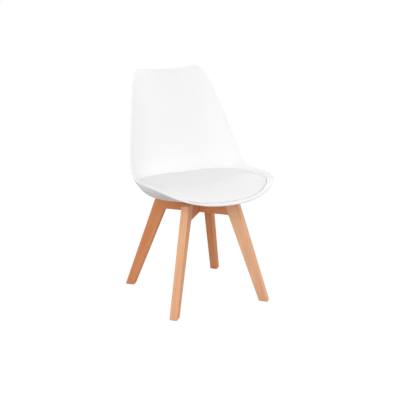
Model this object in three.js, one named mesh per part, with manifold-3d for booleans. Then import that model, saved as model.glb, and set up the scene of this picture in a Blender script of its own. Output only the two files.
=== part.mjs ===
// Dining chair: a moulded bucket shell with a padded seat, on two crossed rails and four splayed legs.
// Millimetres, +Z up, and the sitter faces -Y. Left and right are as seen from the front.
// The origin is on the floor, under the middle of the chair's overall width and depth.

import * as THREE from 'three';
import { mergeVertices } from 'three/addons/utils/BufferGeometryUtils.js';
import Module from 'manifold-3d';

const wasm = await Module();
wasm.setup();

// Fits and edges that the pieces share
const clearance = 0.3; // left between two pieces that touch
const brokenEdge = 0.4; // rounding of wooden edges that are only broken
const overrun = 5; // how far a cut runs past the face that it opens

// Shell: one moulding, described by the line down the middle of its underside
const shellWidth = 491;
const shellDepth = 522; // front lip to the top of the back
const shellWall = 5;
const rimWall = 7.5; // the wall thickens to this all round its edge
const sideSharpness = 26; // how late it thickens towards its sides
const endSharpness = 60; // and towards the lip and the top edge
const lipHeight = 417; // underside of the front lip over the floor
const lipAngle = 1; // slope of the middle line at the lip, in degrees
const spineLength = 812.4; // along the middle line, lip to top edge
const noseOffset = 0; // the line dips behind the lip
const noseLength = 120;
const noseTurn = -8.85;
const hollowOffset = 135; // it levels out under the sitter
const hollowLength = 180;
const hollowTurn = 5.9;
const riseOffset = 271.5; // it turns up into the back
const riseLength = 225;
const riseTurn = 76.45;
const leanOffset = 500; // the back leans a little further towards its top
const leanLength = 320;
const leanTurn = -2;
const wingDepth = 84.5; // how far the deepest wing stands in front of the middle line
const frontBow = 60.2; // how far the front corners lie behind the lip, along the line
const bowSharpness = 1.85;
const topRise = 8; // how far the top edge rises towards its corners
const topDrop = 22.5; // how far its rounded corners fall away
const dropSharpness = 12;

// The shell's side from front corner to top corner. Each row: share of the way up the line, half
// width as a share of half the shell's width, wing as a share of its depth, and how late in its
// width a section turns up, from a round hollow at 2 to a flat floor with upright sides at 8.
const sideShares = [
  [0.0, 0.819, 0.408, 3.0],
  [0.033, 0.916, 0.562, 3.1],
  [0.08, 0.971, 0.675, 3.9],
  [0.13, 0.993, 0.734, 5.4],
  [0.19, 1.0, 0.76, 7.2],
  [0.25, 0.997, 0.776, 7.9],
  [0.31, 0.986, 0.843, 7.0],
  [0.38, 0.972, 0.961, 5.4],
  [0.46, 0.961, 1.0, 3.4],
  [0.56, 0.937, 0.925, 2.4],
  [0.7, 0.851, 0.763, 2.1],
  [0.85, 0.738, 0.557, 2.1],
  [0.95, 0.654, 0.391, 2.1],
  [1.0, 0.593, 0.233, 2.0],
];

// Bosses under the shell, with their inserts
const bossRadius = 11;
const bossDraft = 1.5; // how much wider a boss is where it leaves the shell
const insertRadius = 4.5;
const insertLength = 9;
const grooveDepth = 0.6;
const grooveShare = 0.2; // of the insert's length
const insertCover = 2.5; // bore depth left over the insert

// Seat pad: cover, foam and base board. Its outline is set out on the shell in shares.
const padWidthShare = 0.965;
const padMiddleShare = 0.257;
const padFrontShare = 0.227; // reach from the middle to the front edge, along the line
const padRearShare = 0.247;
const padFrontSharpness = 5.5; // 2 is an ellipse, more is squarer
const padRearSharpness = 2.6;
const padHeight = 459.5; // top of the pad's middle over the floor
const padEdgeLift = 1.2; // the edge seam over the adhesive
const padPuff = 12; // how far the pad swells above its edge seam
const puffSharpness = 8; // how close to the seam it swells
const padFall = 2.4; // how late the pad falls away to its edge
const seamSharpness = 12; // how late its underside leaves the shell
const padBed = 1; // adhesive between the pad's underside and the shell
const coverSkin = 1.2;
const padTuck = 4; // how far the cover's inside ends short of its edge seam
const boardThickness = 3.5;
const boardShare = 0.75; // the board ends inside this share of the pad's outline

// Crossed rails
const baseCentreY = -6.5; // the cross lies a little in front of the middle of the chair
const railTop = 384;
const railDepth = 60.5;
const railThickness = 28.5;

// Legs, in the upright plane of their diagonal
const footInner = 249.2; // radius of the foot's inner edge, from the cross
const footOuter = 283.5;
const shoulderInner = 122.8; // radius of the inner edge at the rail's underside
const shoulderOuter = 153.9; // radius of the outer edge at the leg's top
const woodEase = 3.5; // rounding along the long edges
const footEase = 1.5;
const easeFade = 12; // over which the inner rounding runs out below the rail

// Dowels between a rail's end and its leg
const dowelRadius = 4;
const dowelLength = 40;
const dowelEase = 1;
const dowelInset = 15; // from the rail's top and underside

// Frame bolts, up through the rails into the bosses
const boltCircle = 70; // radius of the four bolts, from the cross
const boltRadius = 3;
const boltLength = 45; // under the head
const boltReach = 8; // thread in the insert
const headRadius = 5;
const headHeight = 6;
const socketRadius = 2.9;
const socketDepth = 3;
const washerRadius = 6.4;
const washerThickness = 1.6;

// Foot glides, let into the legs' ends
const glideRadius = 9;
const glideThickness = 5;
const glideStand = 1.2; // how far a glide stands below the wood
const glideEase = 1;

// Facets
const acrossShell = 26;
const acrossCrowding = 1.35; // above 1 the shell's columns stand closer together towards its sides
const alongShell = 50;
const alongCrowding = 0.7; // of a smooth step, so that the rows crowd at the lip and the top edge
const rimSteps = 4;
const aroundPad = 36;
const acrossPad = 10;
const hemRings = 3;
const easePoints = 4;
const roundSegments = 16;
const socketSides = 6;
const spineSteps = 800;

const material = (color, roughness, metalness = 0) =>
  new THREE.MeshStandardMaterial({ color, roughness, metalness });
const whitePlastic = material(0xf4f4f3, 0.38);
const whiteLeatherette = material(0xe9e9e9, 0.5);
const foam = material(0xefe9d2, 0.95);
const boardGrey = material(0x8b8b88, 0.7);
const beech = material(0xd39a6e, 0.5);
const dowelBeech = material(0xdcb088, 0.6);
const brass = material(0xc8a550, 0.35, 1);
const zincSteel = material(0xb9bcc0, 0.35, 1);
const glideNylon = material(0xd9d6cf, 0.6);

const mix = (a, b, t) => a + (b - a) * t;

function smoothStep(t) {
  const held = Math.min(Math.max(t, 0), 1);
  return held * held * (3 - 2 * held);
}

// A value read from a table of rows by its first column, on one smooth curve through all rows
function smoothRead(rows, at, column) {
  const last = rows.length - 2;
  const found = rows.findIndex((row) => row[0] > at) - 1;
  const i = found < 0 ? (at < rows[0][0] ? 0 : last) : found;
  const run = rows[i + 1][0] - rows[i][0];
  const rise = (k) => (rows[k + 1][column] - rows[k][column]) / (rows[k + 1][0] - rows[k][0]);
  const slope = (k) => {
    if (k === 0) return rise(0);
    if (k > last) return rise(last);
    return (rise(k - 1) + rise(k)) / 2;
  };
  const t = (at - rows[i][0]) / run;
  const start = rows[i][column];
  const end = rows[i + 1][column];
  const lift = t * (1 - t) * ((1 - t) * slope(i) - t * slope(i + 1)) * run;
  return mix(start, end, t * t * (3 - 2 * t)) + lift;
}

// The middle line of the shell's underside, as points with the line's angle at each
function makeSpine() {
  const turns = [
    [noseOffset, noseLength, noseTurn],
    [hollowOffset, hollowLength, hollowTurn],
    [riseOffset, riseLength, riseTurn],
    [leanOffset, leanLength, leanTurn],
  ];
  const step = spineLength / spineSteps;
  const angleAt = (s) =>
    THREE.MathUtils.degToRad(
      turns.reduce((sum, [start, run, turn]) => sum + turn * smoothStep((s - start) / run), lipAngle),
    );
  const points = [{ y: -shellDepth / 2, z: lipHeight, angle: angleAt(0) }];
  for (let i = 1; i <= spineSteps; i += 1) {
    const previous = points[i - 1];
    const angle = angleAt(i * step);
    const middle = (previous.angle + angle) / 2;
    points.push({
      y: previous.y + step * Math.cos(middle),
      z: previous.z + step * Math.sin(middle),
      angle,
    });
  }
  return points;
}

const spine = makeSpine();

// Place on the middle line at a distance along it; past either end the line runs on straight
function spineAt(s) {
  const at = (s / spineLength) * spineSteps;
  const i = Math.min(Math.max(Math.floor(at), 0), spineSteps - 1);
  const t = at - i;
  const [a, b] = [spine[i], spine[i + 1]];
  return { y: mix(a.y, b.y, t), z: mix(a.z, b.z, t), angle: mix(a.angle, b.angle, t) };
}

// A point of the shell. across runs -1 to 1 from side to side, along runs 0 to 1 from lip to top
// edge, and lift is the distance in from the underside. A section is a power curve: its middle lies
// on the middle line and its ends stand in front of it by the wing's depth.
function shellPoint(across, along, lift) {
  const width = (shellWidth / 2) * smoothRead(sideShares, along, 1);
  const wing = wingDepth * smoothRead(sideShares, along, 2);
  const sharpness = smoothRead(sideShares, along, 3);
  const out = Math.abs(across);
  const bow = frontBow * out ** bowSharpness;
  const crest = topRise * out ** 2 - topDrop * out ** dropSharpness;
  const { y, z, angle } = spineAt(along * spineLength + mix(bow, crest, along));
  const steep = Math.atan((wing * sharpness * out ** (sharpness - 1)) / width);
  const rise = wing * out ** sharpness + lift * Math.cos(steep);
  return new THREE.Vector3(
    Math.sign(across) * (out * width - lift * Math.sin(steep)),
    y - rise * Math.sin(angle),
    z + rise * Math.cos(angle),
  );
}

// Thickness of the wall at a point of the shell
function wallAt(across, along) {
  const ends = (1 - along ** endSharpness) * (1 - (1 - along) ** endSharpness);
  return mix(rimWall, shellWall, (1 - Math.abs(across) ** sideSharpness) * ends);
}

// Direction through the wall at a point of the shell
function shellNormal(across, along) {
  return shellPoint(across, along, shellWall).sub(shellPoint(across, along, 0)).normalize();
}

function indexedGeometry(points, triangles) {
  const geometry = new THREE.BufferGeometry();
  geometry.setAttribute('position', new THREE.Float32BufferAttribute(points.flatMap((p) => p.toArray()), 3));
  geometry.setIndex(triangles);
  geometry.computeVertexNormals();
  return geometry;
}

// Joins rings of equal length into one closed skin, from the lowest ring up, each of them counter-
// clockwise from above. A ring of one point is a pole, and an end that is no pole gets a flat fan.
function skinRings(rings) {
  const points = rings.flat();
  const triangles = [];
  const starts = [];
  let count = 0;
  for (const ring of rings) {
    starts.push(count);
    count += ring.length;
  }
  const around = Math.max(...rings.map((ring) => ring.length));
  for (let k = 0; k + 1 < rings.length; k += 1) {
    for (let j = 0; j < around; j += 1) {
      const next = (j + 1) % around;
      const [a, b] = rings[k].length === 1 ? [starts[k], starts[k]] : [starts[k] + j, starts[k] + next];
      const [c, d] =
        rings[k + 1].length === 1
          ? [starts[k + 1], starts[k + 1]]
          : [starts[k + 1] + j, starts[k + 1] + next];
      const shortest = points[a].distanceTo(points[d]) < points[b].distanceTo(points[c]);
      if (a === b) triangles.push(a, d, c);
      else if (c === d) triangles.push(a, b, c);
      else if (shortest) triangles.push(a, b, d, a, d, c);
      else triangles.push(a, b, c, b, d, c);
    }
  }
  const last = rings.length - 1;
  if (rings[0].length > 1) {
    for (let j = 1; j + 1 < around; j += 1) triangles.push(starts[0], starts[0] + j + 1, starts[0] + j);
  }
  if (rings[last].length > 1) {
    for (let j = 1; j + 1 < around; j += 1) {
      triangles.push(starts[last], starts[last] + j, starts[last] + j + 1);
    }
  }
  return indexedGeometry(points, triangles);
}

function solidOf(geometry) {
  const bare = geometry.clone();
  bare.deleteAttribute('normal');
  bare.deleteAttribute('uv');
  const merged = mergeVertices(bare);
  return new wasm.Manifold(
    new wasm.Mesh({
      numProp: 3,
      vertProperties: new Float32Array(merged.attributes.position.array),
      triVerts: new Uint32Array(merged.index.array),
    }),
  );
}

function geometryOf(solid) {
  const mesh = solid.getMesh();
  const geometry = new THREE.BufferGeometry();
  geometry.setAttribute('position', new THREE.BufferAttribute(new Float32Array(mesh.vertProperties), 3));
  geometry.setIndex(new THREE.BufferAttribute(new Uint32Array(mesh.triVerts), 1));
  geometry.computeVertexNormals();
  return geometry;
}

// A round bar or cut along Z from one height to another
function uprightBar(radius, low, high, topRadius = radius) {
  return new THREE.CylinderGeometry(topRadius, radius, high - low, roundSegments)
    .rotateX(Math.PI / 2)
    .translate(0, 0, (low + high) / 2);
}

// A turned piece from a closed or axis-to-axis outline of radius and height
function turned(outline) {
  const points = outline.map(([radius, height]) => new THREE.Vector2(radius, height));
  return new THREE.LatheGeometry(points, roundSegments).rotateX(Math.PI / 2);
}

const corners = [
  { name: 'front_left', angle: -135 },
  { name: 'front_right', angle: -45 },
  { name: 'rear_left', angle: 135 },
  { name: 'rear_right', angle: 45 },
].map(({ name, angle }) => ({ name, turn: THREE.MathUtils.degToRad(angle) }));

const bossFace = railTop + clearance;

// Shell: the underside and the inside are two grids of the same surface, a wall apart, and a half
// round rim joins them all round.
function makeShell() {
  const alongAt = (j) => {
    const t = j / alongShell;
    return mix(t, smoothStep(t), alongCrowding);
  };
  const acrossAt = (i) => {
    const t = (2 * i) / acrossShell - 1;
    return Math.sign(t) * (1 - (1 - Math.abs(t)) ** acrossCrowding);
  };
  const points = [];
  const grid = (liftAt) => {
    const start = points.length;
    for (let j = 0; j <= alongShell; j += 1) {
      for (let i = 0; i <= acrossShell; i += 1) {
        const place = [acrossAt(i), alongAt(j)];
        points.push(shellPoint(...place, liftAt(...place)));
      }
    }
    return (i, j) => start + j * (acrossShell + 1) + i;
  };
  const under = grid(() => 0);
  const inside = grid(wallAt);
  const triangles = [];
  const quad = (a, b, c, d) => triangles.push(a, b, c, a, c, d);
  for (let j = 0; j < alongShell; j += 1) {
    for (let i = 0; i < acrossShell; i += 1) {
      quad(under(i, j), under(i, j + 1), under(i + 1, j + 1), under(i + 1, j));
      quad(inside(i, j), inside(i + 1, j), inside(i + 1, j + 1), inside(i, j + 1));
    }
  }
  const edge = [];
  for (let i = 0; i < acrossShell; i += 1) edge.push([i, 0]);
  for (let j = 0; j < alongShell; j += 1) edge.push([acrossShell, j]);
  for (let i = acrossShell; i > 0; i -= 1) edge.push([i, alongShell]);
  for (let j = alongShell; j > 0; j -= 1) edge.push([0, j]);
  const places = edge.map(([i, j]) => points[under(i, j)]);
  const rings = [edge.map(([i, j]) => under(i, j))];
  for (let k = 1; k < rimSteps; k += 1) {
    const bend = (Math.PI * k) / rimSteps;
    const ring = edge.map(([i, j], n) => {
      const inward = shellNormal(acrossAt(i), alongAt(j));
      const run = places[(n + 1) % edge.length].clone().sub(places.at(n - 1));
      const outward = run.cross(inward).normalize();
      points.push(
        places[n]
          .clone()
          .addScaledVector(inward, (rimWall / 2) * (1 - Math.cos(bend)))
          .addScaledVector(outward, (rimWall / 2) * Math.sin(bend)),
      );
      return points.length - 1;
    });
    rings.push(ring);
  }
  rings.push(edge.map(([i, j]) => inside(i, j)));
  for (let k = 0; k < rimSteps; k += 1) {
    for (let n = 0; n < edge.length; n += 1) {
      const next = (n + 1) % edge.length;
      quad(rings[k][n], rings[k][next], rings[k + 1][next], rings[k + 1][n]);
    }
  }
  const moulding = indexedGeometry(points, triangles);

  // Each boss runs from the rail's top up into the wall and has a blind bore for its insert
  const skin = new THREE.Mesh(moulding);
  let solid = solidOf(moulding);
  for (const { turn } of corners) {
    const x = boltCircle * Math.cos(turn);
    const y = baseCentreY + boltCircle * Math.sin(turn);
    const foot = new THREE.Vector3(x, y, bossFace);
    const hit = new THREE.Raycaster(foot, new THREE.Vector3(0, 0, 1)).intersectObject(skin)[0];
    const top = hit.point.z + shellWall / 2;
    const boss = uprightBar(bossRadius, bossFace, top, bossRadius + bossDraft).translate(x, y, 0);
    const boreTop = bossFace + clearance + insertLength + insertCover;
    const bore = uprightBar(insertRadius + clearance, bossFace - overrun, boreTop).translate(x, y, 0);
    solid = solid.add(solidOf(boss)).subtract(solidOf(bore));
  }
  return geometryOf(solid);
}

// Outline of the pad on the shell at an angle round it, for a share of its size
function padPlace(angle, share) {
  const [c, s] = [Math.cos(angle), Math.sin(angle)];
  const [half, sharpness] = s < 0 ? [padFrontShare, padFrontSharpness] : [padRearShare, padRearSharpness];
  const reach = share / (Math.abs(c) ** sharpness + Math.abs(s) ** sharpness) ** (1 / sharpness);
  return [padWidthShare * reach * c, padMiddleShare + half * reach * s];
}

// The pad's underside lies on the shell and lifts off it towards the edge seam
const hemLift = (share) => padBed + padEdgeLift * share ** seamSharpness;

function padUnder(angle, share, lift) {
  const place = padPlace(angle, share);
  return shellPoint(...place, wallAt(...place) + lift);
}

// The pad's top falls from its middle to the edge seam and rolls over just inside it
function padTop(angle, share, drop) {
  const seam = padUnder(angle, 1, hemLift(1));
  const middle = shellPoint(0, padMiddleShare, shellWall);
  const fall = share ** padFall;
  return new THREE.Vector3(
    mix(middle.x, seam.x, share),
    mix(middle.y, seam.y, share),
    mix(padHeight - padPuff, seam.z, fall) + padPuff * Math.sqrt(1 - share ** puffSharpness) - drop,
  );
}

const padRing = (place, share, distance) => {
  const ring = [];
  for (let j = 0; j < aroundPad; j += 1) ring.push(place((2 * Math.PI * j) / aroundPad, share, distance));
  return ring;
};

// Shares of the outline at which the pad has its rings, closer together towards its edge
function ringShares(edge, count) {
  const shares = [];
  for (let k = 1; k <= count; k += 1) shares.push(edge * Math.sin((Math.PI / 2) * (k / count)));
  return shares;
}

// The cover's inside, and the foam in it, have their rings at the same shares
const insideShares = ringShares(1 - (2 * padTuck) / shellWidth, acrossPad);
const hemShares = insideShares.slice(-1 - hemRings, -1);

// The cover's inside runs from the middle of its top out to the edge and back along the hem, and
// its outside runs the same way a skin's thickness further out.
function makePadCover() {
  const rings = [[padTop(0, 0, coverSkin)]];
  for (const share of insideShares) rings.push(padRing(padTop, share, coverSkin));
  for (const share of hemShares.toReversed()) {
    rings.push(padRing(padUnder, share, hemLift(share) + coverSkin));
  }
  for (const share of hemShares) rings.push(padRing(padUnder, share, hemLift(share)));
  for (const share of ringShares(1, acrossPad).toReversed()) rings.push(padRing(padTop, share, 0));
  rings.push([padTop(0, 0, 0)]);
  return skinRings(rings);
}

function makePadFoam() {
  const inset = coverSkin + clearance;
  const overBoard = padBed + boardThickness + clearance;
  const shares = insideShares.slice(0, -1);
  const rings = [[padUnder(0, 0, overBoard)]];
  for (const share of shares) {
    rings.push(padRing(padUnder, share, Math.max(overBoard, hemLift(share) + inset)));
  }
  for (const share of shares.toReversed()) rings.push(padRing(padTop, share, inset));
  rings.push([padTop(0, 0, inset)]);
  return skinRings(rings);
}

function makePadBoard() {
  const shares = insideShares.filter((share) => share < boardShare);
  const rings = [[padUnder(0, 0, padBed)]];
  for (const share of shares) rings.push(padRing(padUnder, share, padBed));
  for (const share of shares.toReversed()) {
    rings.push(padRing(padUnder, share, padBed + boardThickness));
  }
  rings.push([padUnder(0, 0, padBed + boardThickness)]);
  return skinRings(rings);
}

const railFloor = railTop - railDepth;
const legFoot = glideStand;
const legTop = railTop;
const legInnerSlope = (footInner - shoulderInner) / railFloor;
const legOuterSlope = (footOuter - shoulderOuter) / legTop;
const legInnerAt = (z) => footInner - legInnerSlope * z;
const legOuterAt = (z) => footOuter - legOuterSlope * z;

// A rounded rectangle in the X and Y plane at a height, with its own rounding on either X side
function woodSection(low, high, thickness, z, lowEase, highEase) {
  const side = thickness / 2;
  const turns = [
    [high - highEase, side - highEase, highEase, 0],
    [low + lowEase, side - lowEase, lowEase, 1],
    [low + lowEase, lowEase - side, lowEase, 2],
    [high - highEase, highEase - side, highEase, 3],
  ];
  return turns.flatMap(([x, y, ease, quarter]) => {
    const corner = [];
    for (let k = 0; k < easePoints; k += 1) {
      const angle = (Math.PI / 2) * (quarter + k / (easePoints - 1));
      corner.push(new THREE.Vector3(x + ease * Math.cos(angle), y + ease * Math.sin(angle), z));
    }
    return corner;
  });
}

// Bars and bores for the two dowels of a joint, along X from the leg's inner face both ways
const dowelHeights = [
  { name: 'low', z: railFloor + dowelInset },
  { name: 'high', z: railTop - dowelInset },
];

function makeDowel() {
  const half = dowelLength / 2;
  const tip = dowelRadius - dowelEase;
  return turned([
    [0, -half],
    [tip, -half],
    [dowelRadius, dowelEase - half],
    [dowelRadius, half - dowelEase],
    [tip, half],
    [0, half],
  ]).rotateY(Math.PI / 2);
}

function dowelBore(x, z) {
  const half = dowelLength / 2 + clearance;
  return uprightBar(dowelRadius + clearance, -half, half).rotateY(Math.PI / 2).translate(x, 0, z);
}

// Leg, along +X from the cross: straight tapered sides with rounded edges. The rounding on the
// inner side runs out just below the rail, so that the rail's end meets a flat face.
function makeLeg() {
  const levels = [
    { z: legFoot, inset: footEase, inner: woodEase },
    { z: legFoot + footEase, inset: 0, inner: woodEase },
    { z: railFloor - easeFade, inset: 0, inner: woodEase },
    { z: railFloor, inset: 0, inner: brokenEdge },
    { z: legTop, inset: 0, inner: brokenEdge },
  ];
  const sections = levels.map(({ z, inset, inner }) =>
    woodSection(
      legInnerAt(z) + inset,
      legOuterAt(z) - inset,
      railThickness - 2 * inset,
      z,
      inner,
      woodEase,
    ),
  );
  let solid = solidOf(skinRings(sections));
  for (const { z } of dowelHeights) solid = solid.subtract(solidOf(dowelBore(legInnerAt(z), z)));
  const footMiddle = (footInner + footOuter) / 2;
  const recessTop = glideThickness + clearance;
  const recess = uprightBar(glideRadius + clearance, legFoot - overrun, recessTop);
  return geometryOf(solid.subtract(solidOf(recess.translate(footMiddle, 0, 0))));
}

// Heights of the bolts and their washers: head down in its counterbore, thread up into the insert
const boltTip = bossFace + boltReach;
const headSeat = boltTip - boltLength;
const washerLow = headSeat + clearance;
const washerHigh = washerLow + washerThickness;

// Rail, lying along X through the cross. Its ends are cut to the lean of the legs' inner faces.
function makeRail(lapFromTop) {
  const section = woodSection(railFloor, railTop, railThickness, 0, woodEase, brokenEdge);
  const ends = [1, -1].map((end) =>
    section.map(({ x: z, y }) => new THREE.Vector3(end * (legInnerAt(z) - clearance), y, z)),
  );
  let solid = solidOf(skinRings(ends));
  const lapLevel = railTop - railDepth / 2;
  const lapHeight = railDepth / 2 + overrun + clearance / 2;
  const lap = new THREE.BoxGeometry(
    railThickness + 2 * clearance,
    railThickness + 2 * overrun,
    lapHeight,
  );
  const lapMiddle = lapHeight / 2 - clearance / 2;
  solid = solid.subtract(solidOf(lap.translate(0, 0, lapLevel + (lapFromTop ? lapMiddle : -lapMiddle))));
  for (const end of [-1, 1]) {
    for (const { z } of dowelHeights) {
      solid = solid.subtract(solidOf(dowelBore(end * legInnerAt(z), z)));
    }
    const shank = uprightBar(boltRadius + clearance, railFloor - overrun, railTop + overrun);
    const sink = uprightBar(washerRadius + clearance, railFloor - overrun, washerHigh + clearance);
    solid = solid.subtract(solidOf(shank.translate(end * boltCircle, 0, 0)));
    solid = solid.subtract(solidOf(sink.translate(end * boltCircle, 0, 0)));
  }
  return geometryOf(solid);
}

function makeBolt() {
  const headLow = headSeat - headHeight;
  const head = uprightBar(headRadius, headLow, headSeat);
  const shank = uprightBar(boltRadius, headSeat - headHeight / 2, boltTip);
  const socket = new THREE.CylinderGeometry(socketRadius, socketRadius, socketDepth + overrun, socketSides)
    .rotateX(Math.PI / 2)
    .translate(0, 0, headLow + (socketDepth - overrun) / 2);
  return geometryOf(solidOf(head).add(solidOf(shank)).subtract(solidOf(socket)));
}

function makeWasher() {
  const bore = boltRadius + clearance;
  return turned([
    [bore, washerLow],
    [washerRadius, washerLow],
    [washerRadius, washerHigh],
    [bore, washerHigh],
    [bore, washerLow],
  ]);
}

// Insert: a brass sleeve with a groove round its middle that the plastic is moulded into
function makeInsert() {
  const low = bossFace + clearance;
  const high = low + insertLength;
  const bore = boltRadius + clearance;
  const groove = insertRadius - grooveDepth;
  const grooveLow = mix(low, high, (1 - grooveShare) / 2);
  const grooveHigh = mix(low, high, (1 + grooveShare) / 2);
  return turned([
    [bore, low],
    [insertRadius, low],
    [insertRadius, grooveLow],
    [groove, grooveLow],
    [groove, grooveHigh],
    [insertRadius, grooveHigh],
    [insertRadius, high],
    [bore, high],
    [bore, low],
  ]);
}

function makeGlide() {
  return turned([
    [0, 0],
    [glideRadius - glideEase, 0],
    [glideRadius, glideEase],
    [glideRadius, glideThickness],
    [0, glideThickness],
  ]);
}

function named(name, geometry, finish) {
  const mesh = new THREE.Mesh(geometry, finish);
  mesh.name = name;
  return mesh;
}

const chair = new THREE.Group();
chair.add(named('seat_shell', makeShell(), whitePlastic));
chair.add(named('cushion_cover', makePadCover(), whiteLeatherette));
chair.add(named('cushion_foam', makePadFoam(), foam));
chair.add(named('cushion_board', makePadBoard(), boardGrey));

const base = new THREE.Group();
base.position.y = baseCentreY;
chair.add(base);

const railLower = named('cross_rail_lower', makeRail(true), beech);
railLower.rotation.z = -Math.PI / 4;
const railUpper = named('cross_rail_upper', makeRail(false), beech);
railUpper.rotation.z = Math.PI / 4;
base.add(railLower, railUpper);

const shapes = {
  leg: makeLeg(),
  dowel: makeDowel(),
  bolt: makeBolt(),
  washer: makeWasher(),
  insert: makeInsert(),
  glide: makeGlide(),
};

for (const { name, turn } of corners) {
  const corner = new THREE.Group();
  corner.rotation.z = turn;
  base.add(corner);
  corner.add(named(`leg_${name}`, shapes.leg, beech));
  for (const { name: level, z } of dowelHeights) {
    const dowel = named(`dowel_${name}_${level}`, shapes.dowel, dowelBeech);
    dowel.position.set(legInnerAt(z), 0, z);
    corner.add(dowel);
  }
  const fastening = new THREE.Group();
  fastening.position.x = boltCircle;
  fastening.add(
    named(`frame_bolt_${name}`, shapes.bolt, zincSteel),
    named(`washer_${name}`, shapes.washer, zincSteel),
    named(`threaded_insert_${name}`, shapes.insert, brass),
  );
  corner.add(fastening);
  const glide = named(`foot_glide_${name}`, shapes.glide, glideNylon);
  glide.position.x = (footInner + footOuter) / 2;
  corner.add(glide);
}

export default chair;
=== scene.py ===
import bpy
import numpy as np
from mathutils import Matrix, Vector


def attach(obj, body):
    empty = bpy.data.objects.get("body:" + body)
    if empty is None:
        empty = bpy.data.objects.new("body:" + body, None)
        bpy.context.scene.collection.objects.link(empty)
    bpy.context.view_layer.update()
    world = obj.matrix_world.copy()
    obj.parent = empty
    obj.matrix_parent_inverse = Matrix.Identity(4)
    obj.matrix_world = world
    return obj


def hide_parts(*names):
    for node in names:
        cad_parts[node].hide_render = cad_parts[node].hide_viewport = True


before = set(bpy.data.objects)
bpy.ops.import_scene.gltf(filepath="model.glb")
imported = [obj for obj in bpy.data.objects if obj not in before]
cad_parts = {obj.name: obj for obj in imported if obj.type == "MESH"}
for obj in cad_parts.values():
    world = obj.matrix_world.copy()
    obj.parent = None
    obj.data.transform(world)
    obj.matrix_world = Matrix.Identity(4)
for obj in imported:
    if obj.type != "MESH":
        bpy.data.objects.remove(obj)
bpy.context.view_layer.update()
scene = bpy.context.scene


# The camera: a long lens a little over three metres away, off the chair's front left corner. It
# looks slightly down and is rolled by less than a degree. Its frame is square.
view_turn, view_tilt, view_roll = np.radians((28.8, 16.7, 0.9))
view_target = Vector((0.0057, -0.0158, 0.3678))
view_distance = 3.2005
film_width = 36
lens_length = 77.78

back = Vector(
    (-np.sin(view_turn) * np.cos(view_tilt), -np.cos(view_turn) * np.cos(view_tilt), np.sin(view_tilt))
)
level = (-back).cross(Vector((0, 0, 1))).normalized()
upright = back.cross(level)
right = level * np.cos(view_roll) + upright * np.sin(view_roll)
up = upright * np.cos(view_roll) - level * np.sin(view_roll)

camera = bpy.data.objects.new("camera", bpy.data.cameras.new("camera"))
camera.data.sensor_width = film_width
camera.data.lens = lens_length
camera.matrix_world = (
    Matrix.Translation(view_target + view_distance * back) @ Matrix((right, up, back)).transposed().to_4x4()
)
scene.collection.objects.link(camera)
scene.camera = camera


# The studio: an even white room with three large soft lamps, the strongest high at the camera's
# left, a weak one at its right and one behind the chair. The floor is plain white and keeps a faint
# shadow. The camera, gloss and glass see floor and room as white.
room_light = 0.82
chair_middle = (0, 0, 0.4)
floor_reach = 9.0
floor_grey = 0.44
floor_glow = 1.16
shadow_near, shadow_far = 0.6, 1.8
shadow_depth = 0.2


class Wire:
    """A socket of a shader. Arithmetic on wires adds Math nodes, and add() adds any other node."""

    def __init__(self, tree, socket):
        self.tree = tree
        self.socket = socket

    def add(self, kind, settings=None, values=None, out=0):
        """Adds a node of a kind and returns the wire of one of its outputs. Its settings are set
        first, and then its sockets get numbers, colours or wires."""
        node = self.tree.nodes.new(kind)
        for name, value in (settings or {}).items():
            setattr(node, name, value)
        for name, value in (values or {}).items():
            if isinstance(value, Wire):
                self.tree.links.new(value.socket, node.inputs[name])
            else:
                node.inputs[name].default_value = value
        return Wire(self.tree, node.outputs[out])

    def math(self, operation, *values):
        return self.add("ShaderNodeMath", {"operation": operation}, dict(enumerate(values)))

    def __add__(self, other):
        return self.math("ADD", self, other)

    def __mul__(self, other):
        return self.math("MULTIPLY", self, other)

    def __sub__(self, other):
        return self.math("SUBTRACT", self, other)

    def __rsub__(self, other):
        return self.math("SUBTRACT", other, self)

    __radd__ = __add__
    __rmul__ = __mul__

    def sine(self):
        return self.math("SINE", self)

    def up_to(self, most):
        return self.math("MINIMUM", self, most)

    def between(self, low, high):
        """0 up to low, 1 from high on, and smooth between them."""
        return self.add(
            "ShaderNodeMapRange",
            {"interpolation_type": "SMOOTHSTEP"},
            {"Value": self, "From Min": low, "From Max": high},
        )

    def blend(self, low, high):
        """The colour low where the wire is 0 and high where it is 1."""
        return self.add("ShaderNodeMix", {"data_type": "RGBA"}, {0: self, 6: low, 7: high}, out=2)

    def stretched(self, x, y, z):
        """The place that the wire carries, multiplied along its three directions."""
        return self.add("ShaderNodeVectorMath", {"operation": "MULTIPLY"}, {0: self, 1: (x, y, z)})

    def noise(self, scale, detail=2.0):
        """Noise at the place that the wire carries, with scale spots a metre."""
        return self.add("ShaderNodeTexNoise", None, {"Vector": self, "Scale": scale, "Detail": detail})

    def feed(self, socket):
        self.tree.links.new(self.socket, socket)


def seen_directly(tree):
    """1 for the rays that show a surface itself: from the camera, off gloss and through glass."""
    path = tree.nodes.new("ShaderNodeLightPath")
    seen, gloss, glass = (
        Wire(tree, path.outputs[name]) for name in ("Is Camera Ray", "Is Glossy Ray", "Is Transmission Ray")
    )
    return (seen + gloss + glass).up_to(1.0)


def lamp(name, place, size, power):
    """A square soft lamp that faces the middle of the chair."""
    data = bpy.data.lights.new(name, "AREA")
    data.size = size
    data.energy = power
    lit = bpy.data.objects.new(name, data)
    direction = Vector(chair_middle) - Vector(place)
    lit.matrix_world = Matrix.Translation(place) @ direction.to_track_quat("-Z", "Y").to_matrix().to_4x4()
    scene.collection.objects.link(lit)


world = bpy.data.worlds.new("white_room")
world.use_nodes = True
room = world.node_tree.nodes["Background"]
room.inputs["Color"].default_value = (1, 1, 1, 1)
shown = seen_directly(world.node_tree)
(shown * (1 - room_light) + room_light).feed(room.inputs["Strength"])
scene.world = world

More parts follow.
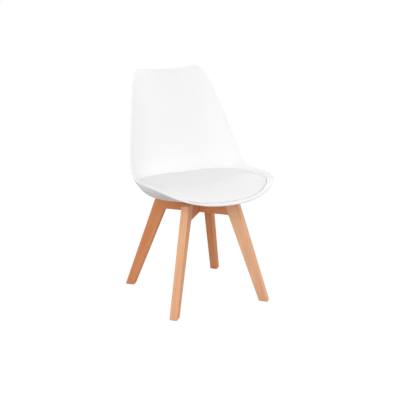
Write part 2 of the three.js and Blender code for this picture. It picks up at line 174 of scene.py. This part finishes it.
lamp("lamp_left", (-2.8, -3.4, 2.3), size=2.4, power=70)
lamp("lamp_right", (3.4, -1.8, 2.2), size=1.8, power=25)
lamp("lamp_rear", (1.6, 4.0, 2.4), size=2.4, power=30)

# Round the chair a share of the floor is matt and takes the shadow. Further out it is white alone.
floor_paint = bpy.data.materials.new("floor_paint")
floor_paint.use_nodes = True
tree = floor_paint.node_tree
tree.nodes.clear()
shown = seen_directly(tree)
place = Wire(tree, tree.nodes.new("ShaderNodeTexCoord").outputs["Object"])
away = place.add("ShaderNodeVectorMath", {"operation": "LENGTH"}, {0: place}, out="Value")
matt = shown.add("ShaderNodeBsdfDiffuse", None, {"Color": (floor_grey, floor_grey, floor_grey, 1)})
bright = shown.add("ShaderNodeEmission", None, {"Strength": floor_glow})
share = shown * (away.between(shadow_near, shadow_far) * shadow_depth + (1 - shadow_depth))
both = shown.add("ShaderNodeMixShader", None, {0: share, 1: matt, 2: bright})
both.feed(tree.nodes.new("ShaderNodeOutputMaterial").inputs["Surface"])

floor_corners = [(x * floor_reach, y * floor_reach, 0) for x, y in ((-1, -1), (1, -1), (1, 1), (-1, 1))]
floor_mesh = bpy.data.meshes.new("floor")
floor_mesh.from_pydata(floor_corners, [], [(0, 1, 2, 3)])
floor_mesh.materials.append(floor_paint)
floor = bpy.data.objects.new("floor", floor_mesh)
scene.collection.objects.link(floor)

scene.view_settings.view_transform = "Standard"


# The shell: seat, back and sides in one injection moulding of white polypropylene, with four bosses
# for the base under the seat. It is slightly translucent, lightly textured by the mould, and thicker
# towards its rounded rim.
shell_width = 0.491
shell_depth = 0.522
shell_wall = 0.005
rim_wall = 0.0075
rim_fullness = 0.55
corner_radius = 0.025
side_sharpness = 26
end_sharpness = 60
lip_height = 0.417
lip_angle = 1.0
line_length = 0.8124
# Each turn of the middle line: where it starts, how long it is, and by how many degrees it rises.
line_turns = ((0.0, 0.12, -8.85), (0.135, 0.18, 5.9), (0.2715, 0.225, 76.45), (0.5, 0.32, -2.0))
wing_depth = 0.0845
front_bow = 0.0602
bow_sharpness = 1.85
top_rise = 0.008
top_drop = 0.0225
drop_sharpness = 12
# Each row: share along the middle line, shares of the width and of the wing's depth, sharpness.
side_shares = np.array(
    [
        (0.0, 0.819, 0.408, 3.0),
        (0.033, 0.916, 0.562, 3.1),
        (0.08, 0.971, 0.675, 3.9),
        (0.13, 0.993, 0.734, 5.4),
        (0.19, 1.0, 0.76, 7.2),
        (0.25, 0.997, 0.776, 7.9),
        (0.31, 0.986, 0.843, 7.0),
        (0.38, 0.972, 0.961, 5.4),
        (0.46, 0.961, 1.0, 3.4),
        (0.56, 0.937, 0.925, 2.4),
        (0.7, 0.851, 0.763, 2.1),
        (0.85, 0.738, 0.557, 2.1),
        (0.95, 0.654, 0.391, 2.1),
        (1.0, 0.593, 0.233, 2.0),
    ]
)
line_steps = 800
shell_across_cells = 112
shell_along_cells = 180
rim_cells = 14
side_crowding = 1.35
end_crowding = 0.7


def smooth_step(t):
    """3t squared less 2t cubed, held between 0 and 1."""
    held = np.clip(t, 0, 1)
    return held * held * (3 - 2 * held)


def read_share(along, column):
    """A column of the table of shares, on a cubic curve through its rows. A row's slope is the mean
    of the slopes to its two neighbours."""
    at, values = side_shares[:, 0], side_shares[:, column]
    rise = np.diff(values) / np.diff(at)
    slope = np.concatenate([rise[:1], (rise[1:] + rise[:-1]) / 2, rise[-1:]])
    i = np.clip(np.searchsorted(at, along, side="right") - 1, 0, len(at) - 2)
    run = at[i + 1] - at[i]
    t = (along - at[i]) / run
    lift = t * (1 - t) * ((1 - t) * slope[i] - t * slope[i + 1]) * run
    return values[i] + (values[i + 1] - values[i]) * t * t * (3 - 2 * t) + lift


line_step = line_length / line_steps
line_run = np.linspace(0, line_length, line_steps + 1)
line_angle = np.radians(
    lip_angle + sum(turn * smooth_step((line_run - start) / length) for start, length, turn in line_turns)
)
half_angle = (line_angle[1:] + line_angle[:-1]) / 2
line_y = np.concatenate([[0], np.cumsum(np.cos(half_angle))]) * line_step - shell_depth / 2
line_z = np.concatenate([[0], np.cumsum(np.sin(half_angle))]) * line_step + lip_height


def shell_point(across, along, lift):
    """A point of the shell. The middle line runs from the front lip, along the underside, to the top
    edge, and its angle is a sum of smooth steps. Across it a section is a power curve: at a share
    out of half the width it stands in front of the line by the wing's depth times out to the power
    of that section's sharpness. Towards the sides the lip bows back along the line by a power of
    out, and the top edge rises by its square and drops at the corners by a high power. lift goes in
    from the underside, square to the section."""
    across, along = np.broadcast_arrays(across, along)
    width = shell_width / 2 * read_share(along, 1)
    wing = wing_depth * read_share(along, 2)
    sharpness = read_share(along, 3)
    out = np.abs(across)
    bow = front_bow * out**bow_sharpness
    crest = top_rise * out**2 - top_drop * out**drop_sharpness
    at = (along * line_length + bow + (crest - bow) * along) / line_step
    i = np.clip(np.floor(at).astype(int), 0, line_steps - 1)
    y, z, angle = (v[i] + (v[i + 1] - v[i]) * (at - i) for v in (line_y, line_z, line_angle))
    steep = np.arctan(wing * sharpness * out ** (sharpness - 1) / width)
    rise = wing * out**sharpness + lift * np.cos(steep)
    x = np.sign(across) * (out * width - lift * np.sin(steep))
    return np.stack([x, y - rise * np.sin(angle), z + rise * np.cos(angle)], axis=-1)


def wall_at(across, along):
    """Thickness of the wall: shell_wall, and towards an edge up to rim_wall, by the share across or
    along to a high power."""
    ends = (1 - along**end_sharpness) * (1 - (1 - along) ** end_sharpness)
    return rim_wall + (shell_wall - rim_wall) * (1 - np.abs(across) ** side_sharpness) * ends


def round_corners(across, along):
    """Rounds the four corners of the outline. Close to a corner, x and y are the parts of
    corner_radius by which a place is nearer to the side and to the end. They shrink as a square does
    to a disc: x times the root of 1 - y squared / 2, and the same for y."""
    half = shell_width / 2
    x = np.clip(1 - (1 - np.abs(across)) * half / corner_radius, 0, 1)
    y = np.clip(1 - np.minimum(along, 1 - along) * line_length / corner_radius, 0, 1)
    in_from_side = x * (1 - np.sqrt(1 - y * y / 2)) * corner_radius / half
    in_from_end = y * (1 - np.sqrt(1 - x * x / 2)) * corner_radius / line_length
    return across - np.sign(across) * in_from_side, along + np.sign(0.5 - along) * in_from_end


def rolled_rim(low, high):
    """Rings over the rim, from the underside's edge low to the inside's edge high. Each ring bends
    further round the middle of the wall, by the cosine of the bend along the wall and by its sine
    outward. Both go to the power of rim_fullness, which makes them fuller than a half circle."""
    thick = np.linalg.norm(high - low, axis=1)[:, None]
    inward = (high - low) / thick
    outward = np.cross(np.roll(low, -1, axis=0) - np.roll(low, 1, axis=0), inward)
    outward /= np.linalg.norm(outward, axis=1)[:, None]
    bend = np.linspace(0, np.pi, rim_cells + 1)[1:-1, None, None]
    over = 1 - np.sign(np.cos(bend)) * np.abs(np.cos(bend)) ** rim_fullness
    return low + thick / 2 * (inward * over + outward * np.sin(bend) ** rim_fullness)


def quads(index):
    """The cells of a grid of point numbers, as faces that look along columns cross rows."""
    cells = [index[:-1, :-1], index[:-1, 1:], index[1:, 1:], index[1:, :-1]]
    return np.stack(cells, axis=-1).reshape(-1, 4).tolist()


def skin(rings, start=0):
    """Points and faces of a closed skin over rings from low to high, each counter-clockwise from
    above. The mean of the first and of the last ring closes its end. start is the number of the
    skin's first point in its mesh."""
    count, around = rings.shape[:2]
    index = start + np.arange(count * around).reshape(count, around)
    faces = quads(np.column_stack([index, index[:, :1]]))
    for end, (ring, turn) in enumerate(((0, 1), (-1, -1))):
        pole = np.full(around, start + count * around + end)
        faces += np.stack([pole, np.roll(index[ring], -turn), index[ring]], axis=-1).tolist()
    return np.concatenate([rings.reshape(-1, 3), rings[[0, -1]].mean(axis=1)]), faces


def piece_of(name, points, faces, finish, sharp=None):
    """A smooth shaded piece from points and faces, with its place in its mesh. Edges that turn by
    more than sharp degrees stay crisp."""
    mesh = bpy.data.meshes.new(name)
    mesh.from_pydata(points, [], faces)
    mesh.shade_smooth()
    if sharp:
        mesh.set_sharp_from_angle(angle=np.radians(sharp))
    mesh.materials.append(finish)
    piece = bpy.data.objects.new(name, mesh)
    scene.collection.objects.link(piece)
    return piece


def finish_of(name, constants):
    """A material with one Principled shader whose constant sockets are set. Returns it, its shader
    and the wire of the piece's own coordinates."""
    finish = bpy.data.materials.new(name)
    finish.use_nodes = True
    shader = finish.node_tree.nodes["Principled BSDF"]
    for socket, value in constants.items():
        shader.inputs[socket].default_value = value
    place = finish.node_tree.nodes.new("ShaderNodeTexCoord").outputs["Object"]
    return finish, shader, Wire(finish.node_tree, place)


def paint(red, green, blue):
    """A colour as it is seen, 0 to 255, in the linear form that a shader takes."""
    seen = np.array([red, green, blue]) / 255
    linear = np.where(seen <= 0.04045, seen / 12.92, ((seen + 0.055) / 1.055) ** 2.4)
    return (*linear.tolist(), 1.0)


def bumped(height, shader, strength, distance):
    """Feeds a height to the shader's normal, as a bump of a distance in metres."""
    bump = height.add("ShaderNodeBump", None, {"Height": height, "Strength": strength, "Distance": distance})
    bump.feed(shader.inputs["Normal"])


white_plastic, shader, place = finish_of(
    "white_plastic",
    {"IOR": 1.49, "Subsurface Weight": 0.6, "Subsurface Radius": (1, 1, 1), "Subsurface Scale": 0.012},
)
cloud = place.noise(2.5).between(0.3, 0.7)
cloud.blend(paint(237, 237, 237), paint(242, 242, 242)).feed(shader.inputs["Base Color"])
(place.noise(14.0, detail=3.0) * 0.1 + 0.43).feed(shader.inputs["Roughness"])
mould_texture = place.noise(1100.0, detail=3.0)
bumped(mould_texture, shader, strength=0.12, distance=0.0003)

# The shell's grid is finer towards the sides and the two ends.
column = np.linspace(-1, 1, shell_across_cells + 1)
column = np.sign(column) * (1 - (1 - np.abs(column)) ** side_crowding)
row = np.linspace(0, 1, shell_along_cells + 1)
row = row + (smooth_step(row) - row) * end_crowding
across, along = round_corners(*np.meshgrid(column, row))
under = shell_point(across, along, 0.0).reshape(-1, 3)
inside = shell_point(across, along, wall_at(across, along)).reshape(-1, 3)
index = np.arange(column.size * row.size).reshape(row.size, column.size)
edge = np.concatenate([index[0, :-1], index[:-1, -1], index[-1, :0:-1], index[:0:-1, 0]])
rim = rolled_rim(under[edge], inside[edge]).reshape(-1, 3)
rim_index = np.vstack(
    [edge, 2 * index.size + np.arange(len(rim)).reshape(-1, edge.size), index.size + edge]
)
shell_points = [under, inside, rim]
shell_faces = quads(index[:, ::-1]) + quads(index + index.size)
shell_faces += quads(np.column_stack([rim_index, rim_index[:, :1]]))

# The base has four corners, each with its turn from +X in degrees. The bosses end a gap over the
# rails, one on the diagonal of each corner.
corner_turns = {"front_left": -135, "front_right": -45, "rear_left": 135, "rear_right": 45}
base_centre_y = -0.0065
rail_top = 0.384
gap = 0.0003
boss_face = rail_top + gap
boss_circle = 0.070
boss_radius = 0.011
boss_draft = 0.0015
boss_fillet = 0.003
boss_break = 0.0006
boss_sides = 40
fillet_rings = 7
bore_radius = 0.0048
bore_top = boss_face + 0.0118


def under_height(x, y):
    """Height of the shell's underside over a place. The two shares that lead there are found by
    Newton's method, with the slopes taken over a small step."""
    rounds, small = 12, 1e-5
    across, along = x / (shell_width / 2), (y + shell_depth / 2) / line_length
    for _ in range(rounds):
        here = shell_point(across, along, 0.0)
        a = (shell_point(across + small, along, 0.0) - here) / small
        b = (shell_point(across, along + small, 0.0) - here) / small
        dx, dy = x - here[..., 0], y - here[..., 1]
        spread = a[..., 0] * b[..., 1] - a[..., 1] * b[..., 0]
        across = across + (dx * b[..., 1] - dy * b[..., 0]) / spread
        along = along + (a[..., 0] * dy - a[..., 1] * dx) / spread
    return shell_point(across, along, 0.0)[..., 2]


def boss_skin(turn, start):
    """A boss as rings round its axis: down the blind bore, over a broken edge, up the drafted wall,
    and out along a quarter-round fillet that ends in the shell."""
    around = np.linspace(0, 2 * np.pi, boss_sides, endpoint=False)
    flare = np.linspace(0, np.pi / 2, fillet_rings)
    foot = boss_radius + boss_draft
    low_radii = [bore_radius, bore_radius, boss_radius - boss_break, boss_radius]
    low_heights = [bore_top, boss_face, boss_face, boss_face + boss_break]
    radii = np.concatenate([low_radii, foot + boss_fillet * (1 - np.cos(flare)), [foot + boss_fillet]])
    x = np.cos(turn) * boss_circle + radii[:, None] * np.cos(around)
    y = np.sin(turn) * boss_circle + base_centre_y + radii[:, None] * np.sin(around)
    height = under_height(x, y)
    height[: len(low_heights)] = np.array(low_heights)[:, None]
    height[len(low_heights) : -1] -= boss_fillet * (1 - np.sin(flare))[:, None]
    height[-1] += shell_wall / 2
    return skin(np.stack([x, y, height], axis=-1), start)


for degrees in corner_turns.values():
    points, faces = boss_skin(np.radians(degrees), sum(len(p) for p in shell_points))
    shell_points.append(points)
    shell_faces += faces

shell = piece_of("bucket_shell", np.concatenate(shell_points), shell_faces, white_plastic)
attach(shell, "root")
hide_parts("seat_shell")


# The pad's cover: white leatherette with a fine pebble grain, drawn down over the foam and fixed
# round the edge of the board below. It swells over the foam, rolls under at its edge close above
# the shell, and is glued into the bucket with them.
pad_width_share = 0.953
pad_middle_share = 0.257
pad_front_share = 0.227
pad_rear_share = 0.247
pad_front_sharpness = 5.5
pad_rear_sharpness = 2.6
pad_height = 0.4595
pad_puff = 0.012
puff_sharpness = 5.5
pad_fall = 2.4
side_bulge = 0.5
front_bulge = 0.8
side_lift = 0.0018
tuck_start = 0.8
pad_bed = 0.001
board_thickness = 0.0035
cover_cells = 88
swell_room = 0.002
edge_crowding = 0.55


def pad_place(angle, share):
    """Shares across and along the shell of a point of the pad, at an angle round it. The outline is
    a superellipse, squarer in front than behind."""
    c, s = np.cos(angle), np.sin(angle)
    sharpness = np.where(s < 0, pad_front_sharpness, pad_rear_sharpness)
    half = np.where(s < 0, pad_front_share, pad_rear_share)
    reach = share / (np.abs(c) ** sharpness + np.abs(s) ** sharpness) ** (1 / sharpness)
    return pad_width_share * reach * c, pad_middle_share + half * reach * s


def over_shell(place, lift):
    """The point over a place of the shell's inner face."""
    return shell_point(*place, wall_at(*place) + lift)


def pad_body(cells, inset, lower):
    """Points and faces of the pad, and a mask of its free top. A square grid, finer to its edges, is
    drawn out to a disc: x times the root of 1 - y squared / 2, and the same for y. The top falls
    from the middle to the edge seam by share to the power of pad_fall. It swells over that by
    pad_puff times (1 - share to the power of puff_sharpness) to the power of the bulge, which goes
    from side_bulge to front_bulge at the front. The seam lies a gap over the shell, and by up to
    side_lift more at the sides. The underside follows the shell over the board. inset draws the
    outline in, and lower takes height off the top."""
    t = np.linspace(-1, 1, cells + 1)
    t = (1 - edge_crowding) * t + edge_crowding * np.sin(np.pi / 2 * t)
    u, v = np.meshgrid(t, t)
    x, y = u * np.sqrt(1 - v * v / 2), v * np.sqrt(1 - u * u / 2)
    share = np.minimum(np.hypot(x, y), 1)
    angle = np.arctan2(y, x)
    reach = 1 - inset / (shell_width / 2)
    seam_lift = gap + side_lift * np.cos(angle) ** 2
    seam = over_shell(pad_place(angle, reach), seam_lift)
    middle = shell_point(0.0, pad_middle_share, shell_wall)
    top = middle + (seam - middle) * share[..., None]
    crown = pad_height - pad_puff
    top[..., 2] = crown + (seam[..., 2] - crown) * share**pad_fall
    bulge = side_bulge + (front_bulge - side_bulge) * np.clip(-np.sin(angle), 0, 1) ** 2
    top[..., 2] += (pad_puff - lower) * (1 - share**puff_sharpness) ** bulge
    over_board = pad_bed + board_thickness + gap + inset
    tuck = smooth_step((share - tuck_start) / (1 - tuck_start))
    underside = over_shell(pad_place(angle, share * reach), over_board + (seam_lift - over_board) * tuck)
    index = np.arange(top.shape[0] * top.shape[1]).reshape(top.shape[:2])
    below = index.copy()
    below[1:-1, 1:-1] = index.size + np.arange((cells - 1) ** 2).reshape(cells - 1, cells - 1)
    points = np.concatenate([top.reshape(-1, 3), underside[1:-1, 1:-1].reshape(-1, 3)])
    free = np.zeros(len(points), bool)
    free[index[1:-1, 1:-1]] = True
    return points, quads(index) + quads(below[:, ::-1]), free


def swell(piece, free, pressure, frames, most):
    """Blows the free part of a closed skin up like a cover over foam: a cloth with inner pressure
    and no weight, held where it isn't free. Each point keeps the part of its move that is square to
    the skin. Outward a hyperbolic tangent holds that part to most, and inward, against the foam, a
    hyperbola holds it to a third of most."""
    mesh = piece.data
    start, normal = np.empty((2, len(mesh.vertices) * 3))
    mesh.vertices.foreach_get("co", start)
    mesh.vertices.foreach_get("normal", normal)
    held = piece.vertex_groups.new(name="held")
    held.add(np.flatnonzero(~free).tolist(), 1.0, "REPLACE")
    cloth = piece.modifiers.new("swell", "CLOTH")
    cloth.settings.quality = 6
    cloth.settings.mass = 0.3
    cloth.settings.tension_stiffness = 15
    cloth.settings.compression_stiffness = 15
    cloth.settings.shear_stiffness = 5
    cloth.settings.bending_stiffness = 0.5
    cloth.settings.vertex_group_mass = held.name
    cloth.settings.use_pressure = True
    cloth.settings.uniform_pressure_force = pressure
    cloth.settings.effector_weights.gravity = 0
    cloth.point_cache.frame_start = 1
    cloth.point_cache.frame_end = frames
    for number in range(1, frames + 1):
        scene.frame_set(number)
    moved = np.empty_like(start)
    piece.evaluated_get(bpy.context.evaluated_depsgraph_get()).data.vertices.foreach_get("co", moved)
    piece.modifiers.remove(cloth)
    piece.vertex_groups.remove(held)
    scene.frame_set(1)
    square = ((moved - start) * normal).reshape(-1, 3).sum(axis=1)
    soft = most * 2 / 3
    square = (square + np.hypot(square, soft) - soft) / 2
    square = most * np.tanh(square / most)
    mesh.vertices.foreach_set("co", start + np.repeat(square, 3) * normal)
    mesh.update()


leatherette, shader, place = finish_of("leatherette", {"IOR": 1.5, "Specular IOR Level": 0.4})
cell = place.add(
    "ShaderNodeTexVoronoi", {"feature": "SMOOTH_F1"}, {"Vector": place, "Scale": 620.0, "Smoothness": 0.25}
)
pebble = 1 - cell.between(0.1, 0.75)
# The base colour is darker in the creases between the pebbles, painted shade, with a faint random tone mixed
# in.
crease_shade_and_tone = pebble * 0.5 + place.noise(30.0) * 0.5
crease_shade_and_tone.blend(paint(230, 230, 230), paint(239, 239, 239)).feed(shader.inputs["Base Color"])
(0.56 - pebble * 0.12 + place.noise(9.0) * 0.08).feed(shader.inputs["Roughness"])
bumped(pebble + place.noise(2600.0) * 0.3, shader, strength=0.22, distance=0.0004)

points, faces, free = pad_body(cover_cells, 0.0, swell_room)
pad = piece_of("seat_pad", points, faces, leatherette)
swell(pad, free, pressure=4.0, frames=20, most=0.003)
rounded = pad.modifiers.new("rounded", "SUBSURF")
rounded.levels = rounded.render_levels = 1
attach(pad, "root")
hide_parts("cushion_cover")


# The pad's foam: one cut block of firm cream-coloured foam with fine open cells. It fills the cover
# and is glued to the board's upper side.
foam_cells = 40
foam_inset = 0.005
foam_lower = 0.005

seat_foam, shader, place = finish_of("seat_foam", {"Roughness": 0.95})
cell = place.add("ShaderNodeTexVoronoi", None, {"Vector": place, "Scale": 900.0})
# The open cells are painted darker than the walls between them: painted shade in the pores.
cell.between(0.1, 0.6).blend(paint(205, 196, 160), paint(240, 233, 205)).feed(shader.inputs["Base Color"])
bumped(cell, shader, strength=0.4, distance=0.0005)

points, faces, _ = pad_body(foam_cells, foam_inset, foam_lower)
filling = piece_of("pad_foam", points, faces, seat_foam)
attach(filling, "root")
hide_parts("cushion_foam")


# The pad's board: pressed grey fibre, moulded to the seat of the shell. It carries foam and cover
# and lies on the shell in a bed of glue.
def dress(node, finish):
    """Gives a CAD node that stays its finish."""
    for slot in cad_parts[node].material_slots:
        slot.material = finish


grey_board, shader, place = finish_of("grey_board", {"Roughness": 0.7})
fibre = place.noise(60.0, detail=4.0)
fibre.blend(paint(128, 128, 125), paint(148, 148, 144)).feed(shader.inputs["Base Color"])
bumped(place.noise(700.0), shader, strength=0.3, distance=0.0003)
dress("cushion_board", grey_board)


# The legs: four tapered boards of solid beech with soft edges and a clear matt lacquer. Each leans
# out along its diagonal, is butted to a rail's end with two glued dowels, and has a recess for its
# glide underneath.
rail_depth = 0.0605
rail_floor = rail_top - rail_depth
wood_thickness = 0.0285
foot_inner = 0.2492
foot_outer = 0.2835
shoulder_inner = 0.1228
shoulder_outer = 0.1539
wood_ease = 0.0035
foot_ease = 0.0015
broken_edge = 0.0004
ease_fade = 0.012
foot_height = 0.0012
glide_radius = 0.009
recess_top = 0.0053
shank_levels = [0.03, 0.1, 0.2]
shoulder_level = 0.35
foot_rings = 5
fade_rings = 5
ease_points = 7
inner_slope = (foot_inner - shoulder_inner) / rail_floor
outer_slope = (foot_outer - shoulder_outer) / rail_top


def board_rings(low, high, side, low_ease, high_ease):
    """Rounded rectangles, one for each value of the arrays. Each corner is a quarter circle about a
    centre that lies its radius in from both sides, and each flat is cut close to its ends, so that
    the shading bends only there."""
    arc = np.linspace(0, 1, ease_points)
    turn = np.pi / 2 * (np.arange(4)[:, None] + arc)
    sign_x = np.array([1, -1, -1, 1])[:, None]
    sign_y = np.array([1, 1, -1, -1])[:, None]
    ease = np.where(sign_x > 0, high_ease[:, None, None], low_ease[:, None, None])
    far = np.where(sign_x > 0, high[:, None, None], low[:, None, None])
    x = far - sign_x * ease + ease * np.cos(turn)
    y = sign_y * (side[:, None, None] - ease) + ease * np.sin(turn)
    arcs = np.stack([x, y], axis=-1)
    flat_cuts = np.array([0.06, 0.5, 0.94])[:, None]
    start, end = arcs[:, :, -1:], np.roll(arcs[:, :, :1], -1, axis=1)
    flats = start + (end - start) * flat_cuts
    return np.concatenate([arcs, flats], axis=2).reshape(len(low), -1, 2)


def leg_rings():
    """Rings of a leg that leans out along +X, from the ceiling of its glide's recess, out over the
    foot's rounded edge and up its tapered sides. The two edges on the inner side run out from round
    to broken just below the rail."""
    turn = np.linspace(0, np.pi / 2, foot_rings)
    z = np.concatenate(
        [
            foot_height + foot_ease * (1 - np.cos(turn)),
            shank_levels,
            np.linspace(rail_floor - ease_fade, rail_floor, fade_rings),
            [shoulder_level, rail_top - broken_edge, rail_top],
        ]
    )
    inset = np.zeros_like(z)
    inset[:foot_rings] = foot_ease * (1 - np.sin(turn))
    inset[-1] = broken_edge
    fade = smooth_step((z - rail_floor + ease_fade) / ease_fade)
    plan = board_rings(
        foot_inner - inner_slope * z + inset,
        foot_outer - outer_slope * z - inset,
        wood_thickness / 2 - inset,
        wood_ease + (broken_edge - wood_ease) * fade,
        np.full_like(z, wood_ease),
    )
    centre = np.array([(foot_inner + foot_outer) / 2, 0])
    spoke = plan[0] - centre
    recess = centre + (glide_radius + gap) * spoke / np.linalg.norm(spoke, axis=1)[:, None]
    plan = np.concatenate([[recess, recess], plan])
    z = np.concatenate([[recess_top, foot_height], z])
    return np.concatenate([plan, np.broadcast_to(z[:, None, None], (*plan.shape[:2], 1))], axis=2)


def beech(name, pale, deep):
    """Matt lacquered beech between two tones. The board attribute gives a point's place along the
    grain, across the growth rings and along them. Broad streaks, faint growth lines and short dark
    ray flecks follow the grain, and fine pores roughen it."""
    finish, shader, place = finish_of(name, {"IOR": 1.5, "Specular IOR Level": 0.1})
    line_tone = paint(*(0.86 * c for c in deep))
    fleck_tone = paint(*(0.66 * c for c in deep))
    grain = place.add("ShaderNodeAttribute", {"attribute_name": "board"}, out="Vector")
    drift = grain.stretched(2.2, 16.0, 16.0).noise(1.0, detail=3.0)
    streak = grain.stretched(7.0, 150.0, 60.0).noise(1.0, detail=4.0)
    ripple = grain.stretched(3.0, 30.0, 30.0).noise(1.0)
    ring_place = grain.add("ShaderNodeSeparateXYZ", None, {0: grain}, out="Y") + ripple * 0.012
    ring = (ring_place * 1500.0).sine()
    fleck = grain.stretched(230.0, 1500.0, 1100.0).noise(1.0, detail=1.5).between(0.62, 0.74)
    pore = grain.stretched(300.0, 3000.0, 3000.0).noise(1.0)
    body = (drift * 0.55 + streak * 0.45).between(0.3, 0.7).blend(paint(*deep), paint(*pale))
    lined = (ring.between(0.2, 1.0) * 0.22).blend(body, line_tone)
    (fleck * 0.34).blend(lined, fleck_tone).feed(shader.inputs["Base Color"])
    (0.5 + streak * 0.14 + fleck * 0.1).feed(shader.inputs["Roughness"])
    bumped(pore - fleck * 0.6, shader, strength=0.18, distance=0.0003)
    return finish


def grain_along(mesh, origin, along, across):
    """Writes the board attribute: each point's place in the board's own directions, turned about an
    origin. Another origin is another cut from the wood."""
    co = np.empty(len(mesh.vertices) * 3)
    mesh.vertices.foreach_get("co", co)
    axes = np.stack([along, across, np.cross(along, across)])
    places = (co.reshape(-1, 3) - origin) @ axes.T + origin
    mesh.attributes.new("board", "FLOAT_VECTOR", "POINT").data.foreach_set("vector", places.ravel())


# Each leg's wood, and where in it the leg was cut. The rear legs carry darker tones than the front legs:
# painted shade.
leg_woods_with_painted_shade = {
    "front_left": (beech("beech_pale", (243, 189, 148), (229, 167, 124)), 1.3),
    "front_right": (beech("beech_even", (245, 194, 155), (230, 171, 131)), 2.3),
    "rear_left": (beech("beech_warm_painted_shade", (230, 159, 111), (215, 141, 94)), 0.3),
    "rear_right": (beech("beech_deep_painted_shade", (223, 154, 111), (209, 136, 94)), 0.3),
}
x, y, z = np.moveaxis(leg_rings(), -1, 0)
lean = np.array([(shoulder_inner + shoulder_outer) / 2 - (foot_inner + foot_outer) / 2, rail_top])
lean /= np.linalg.norm(lean)
for corner, degrees in corner_turns.items():
    c, s = np.cos(np.radians(degrees)), np.sin(np.radians(degrees))
    wood, cut = leg_woods_with_painted_shade[corner]
    points, faces = skin(np.stack([x * c - y * s, base_centre_y + x * s + y * c, z], axis=-1))
    leg = piece_of(f"leg_{corner}_board", points, faces, wood, sharp=40)
    along = np.array([lean[0] * c, lean[0] * s, lean[1]])
    grain_along(leg.data, np.array([c, s, cut]), along, np.array([-s, c, 0]))
    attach(leg, "root")
    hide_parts(f"leg_{corner}")


# The crossed rails: two boards of solid beech on edge with the legs' matt lacquer, half-lapped in
# the middle and cut at both ends to the lean of the legs. The shell's bosses stand on them, and
# counterbores on the lower side take the bolts.
def smooth_copy(node, name, finish):
    """A copy of a CAD node with its loose triangles joined and its roundings shaded smooth."""
    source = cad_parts[node].data
    co = np.empty(len(source.vertices) * 3)
    source.vertices.foreach_get("co", co)
    corners = np.empty(len(source.loops), int)
    source.loops.foreach_get("vertex_index", corners)
    points, joined = np.unique(np.round(co.reshape(-1, 3), 7), axis=0, return_inverse=True)
    faces = joined.ravel()[corners].reshape(-1, 3)
    whole = (faces[:, 0] != faces[:, 1]) & (faces[:, 1] != faces[:, 2]) & (faces[:, 2] != faces[:, 0])
    return piece_of(name, points, faces[whole].tolist(), finish, sharp=35)


rail_cut = 0.7
rails = {
    "lower": (-45, beech("beech_rail_lower", (230, 155, 108), (216, 137, 91))),
    "upper": (45, beech("beech_rail_upper", (226, 151, 106), (212, 133, 90))),
}
for level_name, (degrees, wood) in rails.items():
    c, s = np.cos(np.radians(degrees)), np.sin(np.radians(degrees))
    rail = smooth_copy(f"cross_rail_{level_name}", f"rail_{level_name}_board", wood)
    grain_along(rail.data, np.array([s, c, rail_cut]), np.array([c, s, 0]), np.array([0, 0, 1]))
    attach(rail, "root")
    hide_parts(f"cross_rail_{level_name}")


# The dowels: eight turned pegs of unfinished beech with the grain along them, two in each joint.
# They are glued half into the rail's end and half into the leg.
dowel_wood, shader, place = finish_of("dowel_wood", {"IOR": 1.5})
streak = place.stretched(40.0, 40.0, 400.0).noise(1.0, detail=3.0)
streak.between(0.3, 0.7).blend(paint(205, 158, 118), paint(226, 184, 144)).feed(shader.inputs["Base Color"])
(0.6 + streak * 0.15).feed(shader.inputs["Roughness"])
bumped(streak, shader, strength=0.2, distance=0.0002)

for corner in corner_turns:
    dress(f"dowel_{corner}_low", dowel_wood)
    dress(f"dowel_{corner}_high", dowel_wood)


# The bolts and their washers: zinc plated steel, four of each. A bolt with a hexagon socket goes up
# from its counterbore through the rails into the shell, and the washer spreads its head's load.
zinc_plate, shader, place = finish_of("zinc_plate", {"Metallic": 1.0})
cloud = place.noise(220.0, detail=3.0)
cloud.between(0.35, 0.65).blend(paint(176, 180, 186), paint(200, 203, 208)).feed(shader.inputs["Base Color"])
(0.28 + cloud * 0.15).feed(shader.inputs["Roughness"])
bumped(place.noise(2400.0), shader, strength=0.08, distance=0.0001)

for corner in corner_turns:
    dress(f"frame_bolt_{corner}", zinc_plate)
    dress(f"washer_{corner}", zinc_plate)


# The threaded inserts: turned brass with a knurl outside and the bolt's thread inside, one in each
# boss, pressed hot into its bore.
turned_brass, shader, place = finish_of("turned_brass", {"Metallic": 1.0})
turning = place.stretched(300.0, 300.0, 6000.0).noise(1.0)
turning.between(0.3, 0.7).blend(paint(190, 155, 80), paint(214, 180, 104)).feed(shader.inputs["Base Color"])
(0.26 + turning * 0.16).feed(shader.inputs["Roughness"])
bumped(turning, shader, strength=0.12, distance=0.0001)

for corner in corner_turns:
    dress(f"threaded_insert_{corner}", turned_brass)


# The glides: round pads of off-white nylon, dulled by the floor. Each is pressed into the recess in
# its leg's foot and keeps the wood just clear of the ground.
glide_nylon, shader, place = finish_of("glide_nylon", {"IOR": 1.53})
worn = place.noise(380.0, detail=4.0)
worn.between(0.3, 0.7).blend(paint(206, 203, 196), paint(222, 219, 212)).feed(shader.inputs["Base Color"])
(0.5 + worn * 0.2).feed(shader.inputs["Roughness"])
bumped(worn, shader, strength=0.15, distance=0.0002)

for corner in corner_turns:
    dress(f"foot_glide_{corner}", glide_nylon)
